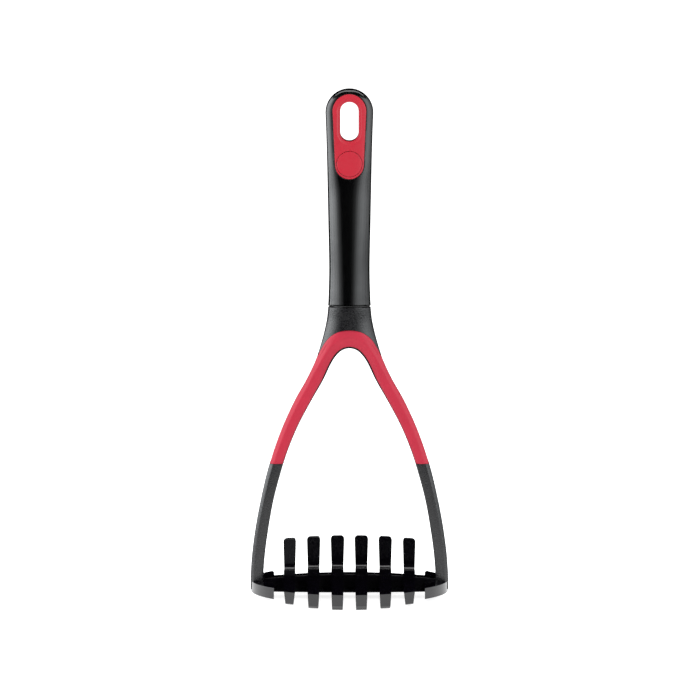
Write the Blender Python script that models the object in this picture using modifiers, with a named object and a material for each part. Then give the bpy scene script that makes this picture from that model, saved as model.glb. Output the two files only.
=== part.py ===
"""Potato masher: a gloss handle with a red hanging insert, on a black wishbone frame.

The frame carries a soft red sleeve, two feet, a crossbar and six tines.  +Z runs up the
handle, +X to the right, +Y to the rear.  The origin is on the table, under the middle.
"""

from math import cos, pi, radians, sin, sqrt

import bmesh
import bpy
from mathutils import Matrix

MM = 0.001

# Driving dimensions
OVERALL_HEIGHT = 265 * MM
HEAD_WIDTH = 103 * MM
HEAD_DEPTH = 80 * MM
GAP = 0.3 * MM            # clearance between neighbouring pieces

HANDLE_BOTTOM = 152.9 * MM
DOME_RADIUS = 12.3 * MM   # seen from the front, the top of the handle is a half circle
SOCKET_TOP = 212 * MM
SOCKET_MOUTH, SOCKET_END = (7.5 * MM, 5.3 * MM), (6.6 * MM, 4.6 * MM)   # half width and depth
FRAME_TOP = 151.9 * MM    # the frame's shoulder, just under the groove
ARM_TOP = 121 * MM        # where the neck's legs become the arms
ARM_FOOT = 10 * MM

COLLAR = (10.1 * MM, 7.5 * MM)       # half width and depth at the foot of the groove
TANG = (6.6 * MM, 4.5 * MM)
TANG_SQUARENESS = 4

SLOT_HALF_WIDTH = 4.7 * MM
SLOT_BOTTOM, SLOT_TOP = 238.2 * MM, 258.1 * MM
LINING = 1.5 * MM         # wall of the red lining inside the slot
PLATE_TOP_CENTRE, PLATE_TOP_RADIUS = 253.5 * MM, 8.7 * MM
PLATE_LOW_CENTRE, PLATE_LOW_RADIUS = 226.2 * MM, 7.45 * MM
PLATE_FLOOR = 4.6 * MM    # half the thickness of the handle web left between the two plates
PLATE_INSET = 0.2 * MM    # how far the plates lie below the handle's surface
BADGE_CENTRE, BADGE_RADIUS, BADGE_THICK = 226.5 * MM, 6.5 * MM, 0.9 * MM

SLEEVE_BOTTOM = 71.0 * MM
SLEEVE_FACE = 1.3 * MM    # sleeve thickness on the front and rear
SLEEVE_SIDE = 1.5 * MM    # sleeve thickness on the outer side
SLEEVE_LIP = 0.6 * MM     # frame left bare along the inner edge

FOOT_CHORD = 39.3 * MM
FOOT_BOTTOM, FOOT_TOP = 3.5 * MM, 9.3 * MM
BAR_HALF_DEPTH = 5.3 * MM
BAR_END = 44.7 * MM
BAR_TOP, BAR_BOTTOM = 12.65 * MM, 3.1 * MM
BAR_TOP_DROP, BAR_BOTTOM_RISE = 2.3 * MM, 0.5 * MM

TINE_PITCH = 12.36 * MM
TINE_FRONT, TINE_SHOULDER, TINE_REAR = 8.2 * MM, 12.1 * MM, 9.5 * MM   # heights of its top
TINE_CREASE = 8.5 * MM    # height where a tine's side walls become nearly upright
TAB_TOP = 26.0 * MM
TAB_THICK = 3.4 * MM
TINE_BOTTOMS = (0.0, 0.7 * MM, 1.8 * MM)             # inner, middle and outer pairs
TINE_CHAMFERS = (3.0 * MM, 1.6 * MM, 0.8 * MM)       # lower front edge of each pair
# Half width of each pair at the bottom, at the crease and at the tab's top, in millimetres
TINE_HALF_WIDTHS = ((2.8, 3.1, 3.55), (2.6, 3.05, 3.5), (2.1, 2.9, 3.3))

ARM_SQUARENESS, NECK_SQUARENESS = 7, 2.4   # boxy arms, and an oval neck at the groove
RING_POINTS = 28          # points round the handle, the frame and the sleeve

# Half axes of the head's oval outline.  The inner tines' corners reach the full depth.
HEAD_A = HEAD_WIDTH / 2
INNER_CORNER = TINE_PITCH / 2 - TINE_HALF_WIDTHS[0][2] * MM
HEAD_B = HEAD_DEPTH / 2 / sqrt(1 - (INNER_CORNER / HEAD_A) ** 2)

# Stations as (height, value), in millimetres
HANDLE_HALF_WIDTH = ((152.9, 11.05), (156, 10.85), (168, 10.5), (177, 10.5), (197, 10.9),
                     (218, 11.3), (239, 11.8), (252.7, 12.3))
HANDLE_HALF_DEPTH = ((152.9, 8.5), (168, 8.3), (200, 8.1), (225, 7.5), (240, 6.9), (252.7, 6.6))
FRAME_HALF_WIDTH = ((10, 51.5), (15, 51.3), (25, 50.5), (38, 48.7), (51, 46.2), (64, 43.2),
                    (77.5, 39.2), (90.5, 34.3), (103.7, 28.1), (114, 22.3), (124.5, 17.4),
                    (135, 14.1), (145, 11.8), (151.9, 11.0))
FRAME_HALF_DEPTH = ((10, 6.2), (70, 6.4), (112, 6.6), (128, 6.9), (140, 7.6), (151.9, 8.4))
# The edge of the opening between the arms, and the top edge of the red arch, as (x, height)
OPENING_EDGE = ((0, 131.2), (4.4, 129.8), (8.6, 124.9), (13.7, 114.5), (19.6, 104.1), (26.5, 91),
                (31.9, 77.9), (36.0, 64.8), (39.4, 51.6), (41.8, 38.5), (43.7, 25.3), (44.7, 14.8),
                (45.1, 5))
ARCH_EDGE = ((0, 140.7), (5.7, 139.8), (10.6, 136.6), (14.4, 131.2), (17.2, 125.3), (24, 112))


def collection(name):
    group = bpy.data.collections.new(name)
    bpy.context.scene.collection.children.link(group)
    return group


def clear_scene():
    for thing in list(bpy.data.objects):
        bpy.data.objects.remove(thing, do_unlink=True)


def plastic(name, colour, roughness):
    material = bpy.data.materials.new(name)
    material.use_nodes = True
    shader = material.node_tree.nodes["Principled BSDF"]
    shader.inputs["Base Color"].default_value = (*colour, 1)
    shader.inputs["Roughness"].default_value = roughness
    shader.inputs["Metallic"].default_value = 0
    material.diffuse_color = (*colour, 1)
    return material


clear_scene()
PARTS = collection("potato_masher")
CUTTERS = collection("cutters")
RED = (0.58, 0.035, 0.06)
BLACK = (0.015, 0.015, 0.016)


# ---------------------------------------------------------------- curves through stations

def neighbours(points, index):
    """The points before and after one on a path, or the point itself at an end."""
    return points[max(index - 1, 0)], points[min(index + 1, len(points) - 1)]


def smooth_value(stations, height):
    """Value at a height, on a smooth curve through (height, value) stations in millimetres."""
    at = min(max(height / MM, stations[0][0]), stations[-1][0])
    index = max(i for i, (station, _) in enumerate(stations[:-1]) if station <= at)
    (x0, y0), (x1, y1) = stations[index], stations[index + 1]
    slopes = []
    for i in (index, index + 1):
        before, after = neighbours(stations, i)
        slopes.append((after[1] - before[1]) / (after[0] - before[0]))
    span = x1 - x0
    t = (at - x0) / span
    value = ((2 * t ** 3 - 3 * t ** 2 + 1) * y0 + (t ** 3 - 2 * t ** 2 + t) * span * slopes[0]
             + (3 * t ** 2 - 2 * t ** 3) * y1 + (t ** 3 - t ** 2) * span * slopes[1])
    return value * MM


def smooth_path(points, steps=4):
    """A smooth path through hand-chosen points in millimetres, starting level."""
    path = []
    for index in range(len(points) - 1):
        start, end = points[index], points[index + 1]
        ends = []
        for i in (index, index + 1):
            before, after = neighbours(points, i)
            reach = sqrt((after[0] - before[0]) ** 2 + (after[1] - before[1]) ** 2)
            ends.append(((after[0] - before[0]) / reach, (after[1] - before[1]) / reach))
        if index == 0:
            ends[0] = (1.0, 0.0)
        span = sqrt((end[0] - start[0]) ** 2 + (end[1] - start[1]) ** 2)
        for step in range(steps):
            t = step / steps
            weights = (2 * t ** 3 - 3 * t ** 2 + 1, 3 * t ** 2 - 2 * t ** 3,
                       (t ** 3 - 2 * t ** 2 + t) * span, (t ** 3 - t ** 2) * span)
            path.append(tuple((start[k] * weights[0] + end[k] * weights[1]
                               + ends[0][k] * weights[2] + ends[1][k] * weights[3]) * MM
                              for k in (0, 1)))
    path.append((points[-1][0] * MM, points[-1][1] * MM))
    return path


def arc(centre, radius, start, end, steps=10):
    """Points on an arc, from one angle in degrees to another."""
    for step in range(steps + 1):
        angle = radians(start + (end - start) * step / steps)
        yield centre[0] + radius * cos(angle), centre[1] + radius * sin(angle)


def offset_path(path, distance):
    """The path moved to its left by a distance."""
    moved = []
    for index, (u, v) in enumerate(path):
        before, after = neighbours(path, index)
        du, dv = after[0] - before[0], after[1] - before[1]
        length = sqrt(du * du + dv * dv)
        moved.append((u - dv / length * distance, v + du / length * distance))
    return moved


def mirrored(path):
    """The path with its mirror image across x = 0, which it starts on."""
    return [(-u, v) for u, v in reversed(path[1:])] + list(path)


# ---------------------------------------------------------------- solids

def add_object(name, mesh, group, material=None):
    thing = bpy.data.objects.new(name, mesh)
    group.objects.link(thing)
    if material:
        mesh.materials.append(material)
    if group is CUTTERS:
        thing.hide_render = True
        thing.display_type = "WIRE"
    return thing


def shade(thing, angle=35):
    thing.data.shade_smooth()
    thing.data.set_sharp_from_angle(angle=radians(angle))


def section(half_width, half_depth, squareness, height, centre=0.0):
    """A level superellipse ring: squareness 2 is an ellipse, and higher is boxier."""
    ring = []
    for step in range(RING_POINTS):
        angle = 2 * pi * (step + 0.5) / RING_POINTS
        c, s = cos(angle), sin(angle)
        x = half_width * abs(c) ** (2 / squareness) * (1 if c > 0 else -1)
        y = half_depth * abs(s) ** (2 / squareness) * (1 if s > 0 else -1)
        ring.append((centre + x, y, height))
    return ring


def loft(name, rings, group, material=None):
    """A closed solid through level rings, from the lowest to the highest."""
    bm = bmesh.new()
    rows = [[bm.verts.new(point) for point in ring] for ring in rings]
    for low, high in zip(rows, rows[1:]):
        for i in range(RING_POINTS):
            j = (i + 1) % RING_POINTS
            bm.faces.new((low[i], low[j], high[j], high[i]))
    bm.faces.new(reversed(rows[0]))
    bm.faces.new(rows[-1])
    mesh = bpy.data.meshes.new(name)
    bm.to_mesh(mesh)
    bm.free()
    thing = add_object(name, mesh, group, material)
    shade(thing)
    return thing


FRONT_PLANE = Matrix.Rotation(radians(90), 4, "X")                         # outline in X and Z
SIDE_PLANE = Matrix.Rotation(radians(90), 4, "Z") @ Matrix.Rotation(radians(90), 4, "X")
TOP_PLANE = Matrix.Identity(4)                                             # outline in X and Y


def slab(name, outline, thickness, plane, place, group, material=None):
    """A flat outline given a thickness, centred on a place."""
    curve = bpy.data.curves.new(name, "CURVE")
    curve.dimensions = "2D"
    curve.fill_mode = "BOTH"
    curve.extrude = thickness / 2
    spline = curve.splines.new("POLY")
    spline.points.add(len(outline) - 1)
    for point, (u, v) in zip(spline.points, outline):
        point.co = (u, v, 0, 1)
    spline.use_cyclic_u = True
    drawing = bpy.data.objects.new(name + "_outline", curve)
    group.objects.link(drawing)
    drawing.matrix_world = Matrix.Translation(place) @ plane
    bpy.context.view_layer.update()
    evaluated = drawing.evaluated_get(bpy.context.evaluated_depsgraph_get())
    mesh = bpy.data.meshes.new_from_object(evaluated)
    mesh.name = name
    bm = bmesh.new()
    bm.from_mesh(mesh)
    bmesh.ops.remove_doubles(bm, verts=bm.verts, dist=0.001 * MM)
    bmesh.ops.recalc_face_normals(bm, faces=bm.faces)
    bm.to_mesh(mesh)
    bm.free()
    mesh.materials.clear()
    thing = add_object(name, mesh, group, material)
    thing.matrix_world = drawing.matrix_world.copy()
    bpy.data.objects.remove(drawing, do_unlink=True)
    return thing


def boolean(thing, cutter, operation="DIFFERENCE"):
    modifier = thing.modifiers.new(operation.title() + "_" + cutter.name, "BOOLEAN")
    modifier.operation = operation
    modifier.solver = "EXACT"
    modifier.object = cutter


def bevel(thing, width, segments=1, angle=40):
    modifier = thing.modifiers.new("Bevel", "BEVEL")
    modifier.width = width
    modifier.segments = segments
    modifier.limit_method = "ANGLE"
    modifier.angle_limit = radians(angle)


# ---------------------------------------------------------------- handle and its inserts

def handle_rings(shrink=0.0):
    """Sections of the handle, from its mouth to the top of its dome."""
    rings = []
    dome_base = OVERALL_HEIGHT - DOME_RADIUS
    levels = 15
    for step in range(levels + 1):
        height = HANDLE_BOTTOM + (dome_base - HANDLE_BOTTOM) * step / levels
        squareness = 2.3 + 0.5 * step / levels
        rings.append(section(smooth_value(HANDLE_HALF_WIDTH, height) - shrink,
                             smooth_value(HANDLE_HALF_DEPTH, height) - shrink, squareness, height))
    width, depth = HANDLE_HALF_WIDTH[-1][1] * MM, HANDLE_HALF_DEPTH[-1][1] * MM
    for degrees in (12, 24, 36, 48, 58, 67, 75, 82, 87):
        angle = radians(degrees)
        rings.append(section(width * cos(angle) - shrink * cos(angle),
                             depth * cos(angle) ** 0.6 - shrink * cos(angle), 2.8,
                             dome_base + (DOME_RADIUS - shrink) * sin(angle)))
    rings.append(section(0.2 * MM, 0.2 * MM, 2, OVERALL_HEIGHT - shrink))
    return rings


def plate_outline(grow=0.0):
    """Front view of a red plate: two circles and the lines that touch both."""
    lean = (PLATE_TOP_RADIUS - PLATE_LOW_RADIUS) / (PLATE_TOP_CENTRE - PLATE_LOW_CENTRE)
    tilt = lean * 180 / pi
    top = arc((0, PLATE_TOP_CENTRE), PLATE_TOP_RADIUS + grow, -tilt, 180 + tilt, 18)
    low = arc((0, PLATE_LOW_CENTRE), PLATE_LOW_RADIUS + grow, 180 + tilt, 360 - tilt, 14)
    return list(top) + list(low)


def slot_outline(grow=0.0):
    """Front view of the hanging slot: straight sides with round ends."""
    radius = SLOT_HALF_WIDTH + grow
    top = arc((0, SLOT_TOP - SLOT_HALF_WIDTH), radius, 0, 180, 12)
    low = arc((0, SLOT_BOTTOM + SLOT_HALF_WIDTH), radius, 180, 360, 12)
    return list(top) + list(low)


def make_handle(material):
    """The gloss shell, with a socket for the tang, a slot and a recess on each face."""
    shell = loft("handle_shell", handle_rings(), PARTS, material)
    socket = loft("socket_cutter",
                  [section(*SOCKET_MOUTH, TANG_SQUARENESS, HANDLE_BOTTOM - 2 * MM),
                   section(*SOCKET_END, TANG_SQUARENESS, SOCKET_TOP)], CUTTERS)
    boolean(shell, socket)
    deep = 20 * MM
    for face in (-1, 1):
        middle = face * (PLATE_FLOOR + deep / 2)
        recess = slab("recess_cutter", plate_outline(GAP), deep, FRONT_PLANE, (0, middle, 0), CUTTERS)
        boolean(shell, recess)
    hole = slab("hole_cutter", slot_outline(LINING + GAP), 2 * deep, FRONT_PLANE, (0, 0, 0), CUTTERS)
    boolean(shell, hole)


def make_insert(name, face, material):
    """A red plate that fills the recess on one face, with half of the slot's lining.

    The plate follows the handle's surface, and the lining meets the other half inside.
    """
    surface = loft("plate_surface", handle_rings(PLATE_INSET), CUTTERS)
    deep = 20 * MM
    floor = PLATE_FLOOR + GAP
    insert = slab(name, plate_outline(), deep, FRONT_PLANE, (0, face * (floor + deep / 2), 0),
                  PARTS, material)
    boolean(insert, surface, "INTERSECT")
    overlap = 0.5 * MM
    lining_length = floor + overlap - GAP / 2
    lining = slab("lining", slot_outline(LINING), lining_length, FRONT_PLANE,
                  (0, face * (GAP / 2 + lining_length / 2), 0), CUTTERS)
    boolean(insert, lining, "UNION")
    slot = slab("slot_cutter", slot_outline(), 3 * deep, FRONT_PLANE, (0, 0, 0), CUTTERS)
    boolean(insert, slot)
    return insert


def badge_level():
    """Half the handle's thickness under the badge, at the plate's surface."""
    return smooth_value(HANDLE_HALF_DEPTH, BADGE_CENTRE) - PLATE_INSET


def disc_outline(radius):
    return list(arc((0, BADGE_CENTRE), radius, 0, 350, 35))


def make_badge(insert, material):
    """A plain round disc let into the front plate."""
    floor = badge_level() - BADGE_THICK
    deep = 20 * MM
    pocket = slab("badge_cutter", disc_outline(BADGE_RADIUS + GAP), deep, FRONT_PLANE,
                  (0, -(floor - GAP + deep / 2), 0), CUTTERS)
    boolean(insert, pocket)
    badge = slab("insert_badge", disc_outline(BADGE_RADIUS), deep, FRONT_PLANE,
                 (0, -(floor + deep / 2), 0), PARTS, material)
    boolean(badge, loft("badge_surface", handle_rings(PLATE_INSET), CUTTERS), "INTERSECT")


# ---------------------------------------------------------------- frame and sleeve

def frame_squareness(height):
    """Boxy along the arms, oval where the neck meets the handle."""
    rise = min(max((height - ARM_TOP) / (FRAME_TOP - ARM_TOP), 0), 1)
    return ARM_SQUARENESS + (NECK_SQUARENESS - ARM_SQUARENESS) * rise


def frame_rings(low, high, levels, side_cut=0.0, face_cut=0.0):
    """Full-width sections of the frame between two heights."""
    rings = []
    for step in range(levels + 1):
        height = low + (high - low) * step / levels
        rings.append(section(smooth_value(FRAME_HALF_WIDTH, height) - side_cut,
                             smooth_value(FRAME_HALF_DEPTH, height) - face_cut,
                             frame_squareness(height), height))
    return rings


def opening_outline(grow=0.0):
    """The space between the arms, closed well below them."""
    edge = offset_path(smooth_path(OPENING_EDGE), grow)
    return mirrored([(max(u, 0.0), v) for u, v in edge])


def inner_edge(height):
    """How far the arm's inner side stands from the middle at a height."""
    path = smooth_path(OPENING_EDGE)
    for (u0, v0), (u1, v1) in zip(path, path[1:]):
        if v1 <= height <= v0:
            return u0 + (u1 - u0) * (v0 - height) / (v0 - v1)
    return 0.0


def sleeve_body(name, group, clearance, material=None):
    """The red sleeve, or with a clearance the room that it needs in the frame."""
    flush = 1.0 * MM if clearance else 0.0
    body = loft(name, frame_rings(SLEEVE_BOTTOM - clearance, 145 * MM, 15, -flush, -flush),
                group, material)
    above = mirrored(offset_path(smooth_path(ARCH_EDGE), clearance))
    far, base = 70 * MM, 40 * MM
    region = [(-far, base), (-far, above[0][1])] + above + [(far, above[-1][1]), (far, base)]
    boolean(body, slab(name + "_region", region, 60 * MM, FRONT_PLANE, (0, 0, 0), CUTTERS), "INTERSECT")
    boolean(body, slab(name + "_opening", opening_outline(SLEEVE_LIP - clearance), 60 * MM,
                       FRONT_PLANE, (0, 0, 0), CUTTERS))
    core = loft(name + "_core", frame_rings(60 * MM, 149 * MM, 15, SLEEVE_SIDE + clearance,
                                            SLEEVE_FACE + clearance), CUTTERS)
    boolean(body, core)
    return body


def make_neck(room, material):
    """The neck: a web over the opening, a recessed collar and a barbed tang."""
    rings = frame_rings(ARM_TOP + GAP, FRAME_TOP, 9)
    collar_top = HANDLE_BOTTOM - GAP
    rings.append(section(*COLLAR, NECK_SQUARENESS, FRAME_TOP))
    rings.append(section(*COLLAR, NECK_SQUARENESS, collar_top))
    rings.append(section(*TANG, TANG_SQUARENESS, collar_top))
    barbs, first, pitch = 4, 164 * MM, 9 * MM
    crest, crest_height, taper_height, taper = 0.3 * MM, 0.5 * MM, 4 * MM, 0.15 * MM
    half_width, half_depth = TANG
    for barb in range(barbs):
        base = first + barb * pitch
        slim = taper * (barb + 1)
        rings.append(section(half_width - slim, half_depth - slim, TANG_SQUARENESS, base))
        rings.append(section(half_width - slim + crest, half_depth - slim + crest, TANG_SQUARENESS,
                             base + crest_height))
        rings.append(section(half_width - slim - taper, half_depth - slim - taper, TANG_SQUARENESS,
                             base + taper_height))
    tip = 1.1 * MM
    rings.append(section(half_width - tip, half_depth - tip, TANG_SQUARENESS, SOCKET_TOP - 4 * MM))
    neck = loft("neck", rings, PARTS, material)
    boolean(neck, slab("neck_opening", opening_outline(), 60 * MM, FRONT_PLANE, (0, 0, 0), CUTTERS))
    boolean(neck, room)


def make_arm(name, side, room, material):
    """One arm, from under the neck down to its foot."""
    rings = []
    levels = 12
    for step in range(levels + 1):
        height = ARM_FOOT + (ARM_TOP - ARM_FOOT) * step / levels
        outer = smooth_value(FRAME_HALF_WIDTH, height)
        inner = inner_edge(height)
        rings.append(section((outer - inner) / 2, smooth_value(FRAME_HALF_DEPTH, height),
                             ARM_SQUARENESS, height, side * (outer + inner) / 2))
    arm = loft(name, rings, PARTS, material)
    boolean(arm, room)


# ---------------------------------------------------------------- masher head

def head_edge(x):
    """How far the head's oval outline stands to the front and rear at a place across it."""
    return HEAD_B * sqrt(1 - (x / HEAD_A) ** 2)


def make_foot(name, side, material):
    """A segment of the head's oval, notched for the crossbar."""
    reach = head_edge(FOOT_CHORD)
    steps = 16
    outline = []
    for step in range(steps + 1):
        y = -reach + 2 * reach * step / steps
        outline.append((side * HEAD_A * sqrt(1 - (y / HEAD_B) ** 2), y))
    notch_end, notch = BAR_END + GAP, BAR_HALF_DEPTH + GAP
    for x, y in ((FOOT_CHORD, notch), (notch_end, notch), (notch_end, -notch), (FOOT_CHORD, -notch)):
        outline.append((side * x, y))
    foot = slab(name, outline, FOOT_TOP - FOOT_BOTTOM, TOP_PLANE, (0, 0, (FOOT_TOP + FOOT_BOTTOM) / 2),
                PARTS, material)
    bevel(foot, 0.8 * MM)


def make_crossbar(material):
    """The bar from foot to foot, arched above and below."""
    steps = 20
    xs = [-BAR_END + 2 * BAR_END * step / steps for step in range(steps + 1)]
    over = [(x, BAR_TOP - BAR_TOP_DROP * (x / BAR_END) ** 2) for x in reversed(xs)]
    under = [(x, BAR_BOTTOM + BAR_BOTTOM_RISE * (x / BAR_END) ** 2) for x in xs]
    bar = slab("crossbar", under + over, 2 * BAR_HALF_DEPTH, FRONT_PLANE, (0, 0, 0), PARTS, material)
    bevel(bar, 0.7 * MM)


def tine_outline(length, bottom, chamfer):
    """Side view of a tine, as (y, z): low in front, saddled for the bar, turned up at the rear."""
    notch = BAR_HALF_DEPTH + GAP
    saddle = BAR_BOTTOM - GAP
    web = length - TAB_THICK
    heel, corner, bend = 3.5 * MM, 1.2 * MM, 3.0 * MM
    outline = [(-length + chamfer, bottom), (length - heel, bottom)]
    outline += arc((length - heel, bottom + heel), heel, -60, 0, 3)
    outline += arc((length - corner, TAB_TOP - corner), corner, 0, 90, 3)
    outline += arc((web + corner, TAB_TOP - corner), corner, 90, 180, 3)
    outline += arc((web - bend, TINE_REAR + bend), bend, 0, -80, 4)
    for part in (0.75, 0.5, 0.25):
        y = notch + (web - bend - notch) * part
        outline.append((y, TINE_SHOULDER + (TINE_REAR - TINE_SHOULDER) * part ** 1.5))
    outline += [(notch, TINE_SHOULDER), (notch, saddle), (-notch, saddle), (-notch, TINE_SHOULDER)]
    for part in (0.25, 0.5, 0.75):
        y = -notch - (length - notch) * part
        outline.append((y, TINE_SHOULDER + (TINE_FRONT - TINE_SHOULDER) * part ** 1.5))
    outline += [(-length, TINE_FRONT), (-length, bottom + chamfer * 0.8)]
    return outline


def make_tine(name, place, bottom, chamfer, half_widths, material):
    """One tine.  Its side walls lean out, and its ends follow the head's oval outline."""
    length = head_edge(place)
    low, middle, high = (half * MM for half in half_widths)
    tine = slab(name, tine_outline(length, bottom, chamfer), 2 * middle, SIDE_PLANE, (place, 0, 0),
                PARTS, material)
    bm = bmesh.new()
    bm.from_mesh(tine.data)
    geometry = bm.verts[:] + bm.edges[:] + bm.faces[:]
    bmesh.ops.bisect_plane(bm, geom=geometry, plane_co=(0, TINE_CREASE, 0), plane_no=(0, 1, 0),
                           dist=0.0001 * MM)
    for vert in bm.verts:
        y, z = vert.co.x, vert.co.y
        if z < TINE_CREASE:
            half = low + (middle - low) * z / TINE_CREASE
        else:
            half = middle + (high - middle) * (z - TINE_CREASE) / (TAB_TOP - TINE_CREASE)
        vert.co.z = half if vert.co.z > 0 else -half
        swing = max(0.0, (abs(y) - 8 * MM) / (length - 8 * MM))
        shift = (head_edge(place + vert.co.z) - length) * swing
        vert.co.x += shift if y > 0 else -shift
    bmesh.ops.recalc_face_normals(bm, faces=bm.faces)
    bm.to_mesh(tine.data)
    bm.free()
    bevel(tine, 0.7 * MM)


# ---------------------------------------------------------------- assembly

gloss_black = plastic("gloss_black", BLACK, 0.2)
satin_red = plastic("satin_red", RED, 0.4)
matt_black = plastic("matt_black", BLACK, 0.6)
soft_red = plastic("soft_red", RED, 0.55)

make_handle(gloss_black)
front = make_insert("insert_front", -1, satin_red)
make_insert("insert_rear", 1, satin_red.copy())
make_badge(front, satin_red.copy())

sleeve_body("soft_sleeve", PARTS, 0.0, soft_red)
sleeve_room = sleeve_body("sleeve_room", CUTTERS, GAP)
make_neck(sleeve_room, matt_black)
for arm_name, side in (("arm_left", -1), ("arm_right", 1)):
    make_arm(arm_name, side, sleeve_room, matt_black.copy())
for foot_name, side in (("foot_left", -1), ("foot_right", 1)):
    make_foot(foot_name, side, matt_black.copy())
make_crossbar(matt_black.copy())

for number in range(1, 7):
    steps_from_middle = number - 3.5
    pair = int(abs(steps_from_middle))
    make_tine(f"tine_{number}", steps_from_middle * TINE_PITCH, TINE_BOTTOMS[pair],
              TINE_CHAMFERS[pair], TINE_HALF_WIDTHS[pair], matt_black.copy())
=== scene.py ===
"""Looks of the potato masher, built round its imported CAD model."""

from math import copysign, cos, hypot, pi, radians, sin, sqrt

import bmesh
import bpy
from mathutils import Matrix, Vector


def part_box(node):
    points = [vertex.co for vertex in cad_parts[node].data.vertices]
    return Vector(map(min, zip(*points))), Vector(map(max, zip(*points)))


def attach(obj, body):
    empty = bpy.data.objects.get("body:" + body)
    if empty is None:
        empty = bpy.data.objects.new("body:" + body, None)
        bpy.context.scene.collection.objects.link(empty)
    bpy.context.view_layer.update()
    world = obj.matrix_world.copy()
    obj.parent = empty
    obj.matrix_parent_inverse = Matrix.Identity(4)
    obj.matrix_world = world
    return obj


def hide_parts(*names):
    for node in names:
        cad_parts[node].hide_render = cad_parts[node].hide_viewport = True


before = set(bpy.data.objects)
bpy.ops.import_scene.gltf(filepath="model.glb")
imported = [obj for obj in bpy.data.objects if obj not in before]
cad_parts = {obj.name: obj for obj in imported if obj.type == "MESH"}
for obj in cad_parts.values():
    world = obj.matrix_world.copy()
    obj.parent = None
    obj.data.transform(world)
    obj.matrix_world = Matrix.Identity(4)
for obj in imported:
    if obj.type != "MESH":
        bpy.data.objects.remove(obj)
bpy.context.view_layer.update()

MM = 0.001

# Places taken from the CAD model
HANDLE_LOW, HANDLE_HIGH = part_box("handle_shell")
FOOT_LOW, FOOT_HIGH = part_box("foot_right")
BAR_LOW, BAR_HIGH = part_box("crossbar")
BADGE_LOW, BADGE_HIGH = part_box("insert_badge")
INNER_TINE_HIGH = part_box("tine_4")[1]
SLEEVE_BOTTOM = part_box("soft_sleeve")[0].z

HANDLE_BOTTOM = HANDLE_LOW.z
DOME_RADIUS = 12.3 * MM    # of the handle's round top
DOME_BASE = HANDLE_HIGH.z - DOME_RADIUS
GROOVE = 0.55 * MM         # gap between the handle and the frame, round the collar
FRAME_TOP = HANDLE_BOTTOM - GROOVE
ARM_BOTTOM = FOOT_LOW.z + 1.5 * MM
FOOT_CHORD = FOOT_LOW.x    # the foot's straight inner side
HEAD_A = FOOT_HIGH.x       # the head's oval outline: half its length, from left to right
TINE_PITCH = (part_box("tine_6")[0].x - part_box("tine_4")[0].x) / 2
BADGE_CENTRE = (BADGE_LOW.z + BADGE_HIGH.z) / 2
BADGE_RADIUS = (BADGE_HIGH.x - BADGE_LOW.x) / 2

# Stations as (height, value), in millimetres
HANDLE_HALF_WIDTH = ((152.9, 11.05), (156, 10.85), (168, 10.5), (177, 10.5), (197, 10.9),
                     (218, 11.3), (239, 11.8), (252.7, 12.3))
HANDLE_HALF_DEPTH = ((152.9, 8.5), (168, 8.3), (200, 8.1), (225, 7.5), (240, 6.9), (252.7, 6.6))
FRAME_HALF_WIDTH = ((10, 51.5), (15, 51.3), (25, 50.5), (38, 48.7), (51, 46.2), (64, 43.2),
                    (77.5, 39.2), (90.5, 34.3), (103.7, 28.1), (114, 22.3), (124.5, 17.4),
                    (135, 14.1), (145, 11.8), (151.9, 11.0))
FRAME_HALF_DEPTH = ((10, 6.2), (70, 6.4), (112, 6.6), (128, 6.9), (140, 7.6), (151.9, 8.4))
# The edge of the opening between the arms, and the top edge of the red arch, as (x, height)
OPENING_EDGE = ((0, 131.2), (4.4, 129.8), (8.6, 124.9), (13.7, 114.5), (19.6, 104.1), (26.5, 91),
                (31.9, 77.9), (36.0, 64.8), (39.4, 51.6), (41.8, 38.5), (43.7, 25.3), (44.7, 14.8),
                (45.1, 5), (45.3, -10))
ARCH_EDGE = ((0, 140.7), (5.7, 139.8), (10.6, 136.6), (14.4, 131.2), (17.2, 125.3), (24, 112))

# The red plates: two end circles, the depth of their backs, and how far they are sunk
PLATE_TOP_CENTRE, PLATE_TOP_RADIUS = 253.5 * MM, 8.7 * MM
PLATE_LOW_CENTRE, PLATE_LOW_RADIUS = 226.2 * MM, 7.45 * MM
PLATE_BACK = 4.9 * MM
PLATE_INSET = 0.15 * MM
SLOT_HALF_WIDTH = 4.7 * MM
SLOT_BOTTOM, SLOT_TOP = 238.2 * MM, 258.1 * MM
SLOT_MIDDLE = (SLOT_BOTTOM + SLOT_TOP) / 2
LINING = 1.5 * MM          # wall of the slot's red lining
SEAM = 0.12 * MM           # dark line between neighbouring mouldings
OUTSIDE = 20 * MM          # a depth clear of the handle, where its cutters end


# ---------------------------------------------------------------- curves through stations

PATH_STEPS = 8             # points on a smooth path for each one chosen


def neighbours(points, index):
    """The points before and after one, or the point itself at an end."""
    return points[max(index - 1, 0)], points[min(index + 1, len(points) - 1)]


def direction(path, index):
    """Unit direction of a path at one of its points."""
    before, after = neighbours(path, index)
    du, dv = after[0] - before[0], after[1] - before[1]
    length = hypot(du, dv)
    return du / length, dv / length


def hermite(t):
    """Weights of a cubic's start, starting slope, end and ending slope."""
    return (2 * t ** 3 - 3 * t ** 2 + 1, t ** 3 - 2 * t ** 2 + t,
            3 * t ** 2 - 2 * t ** 3, t ** 3 - t ** 2)


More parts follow.
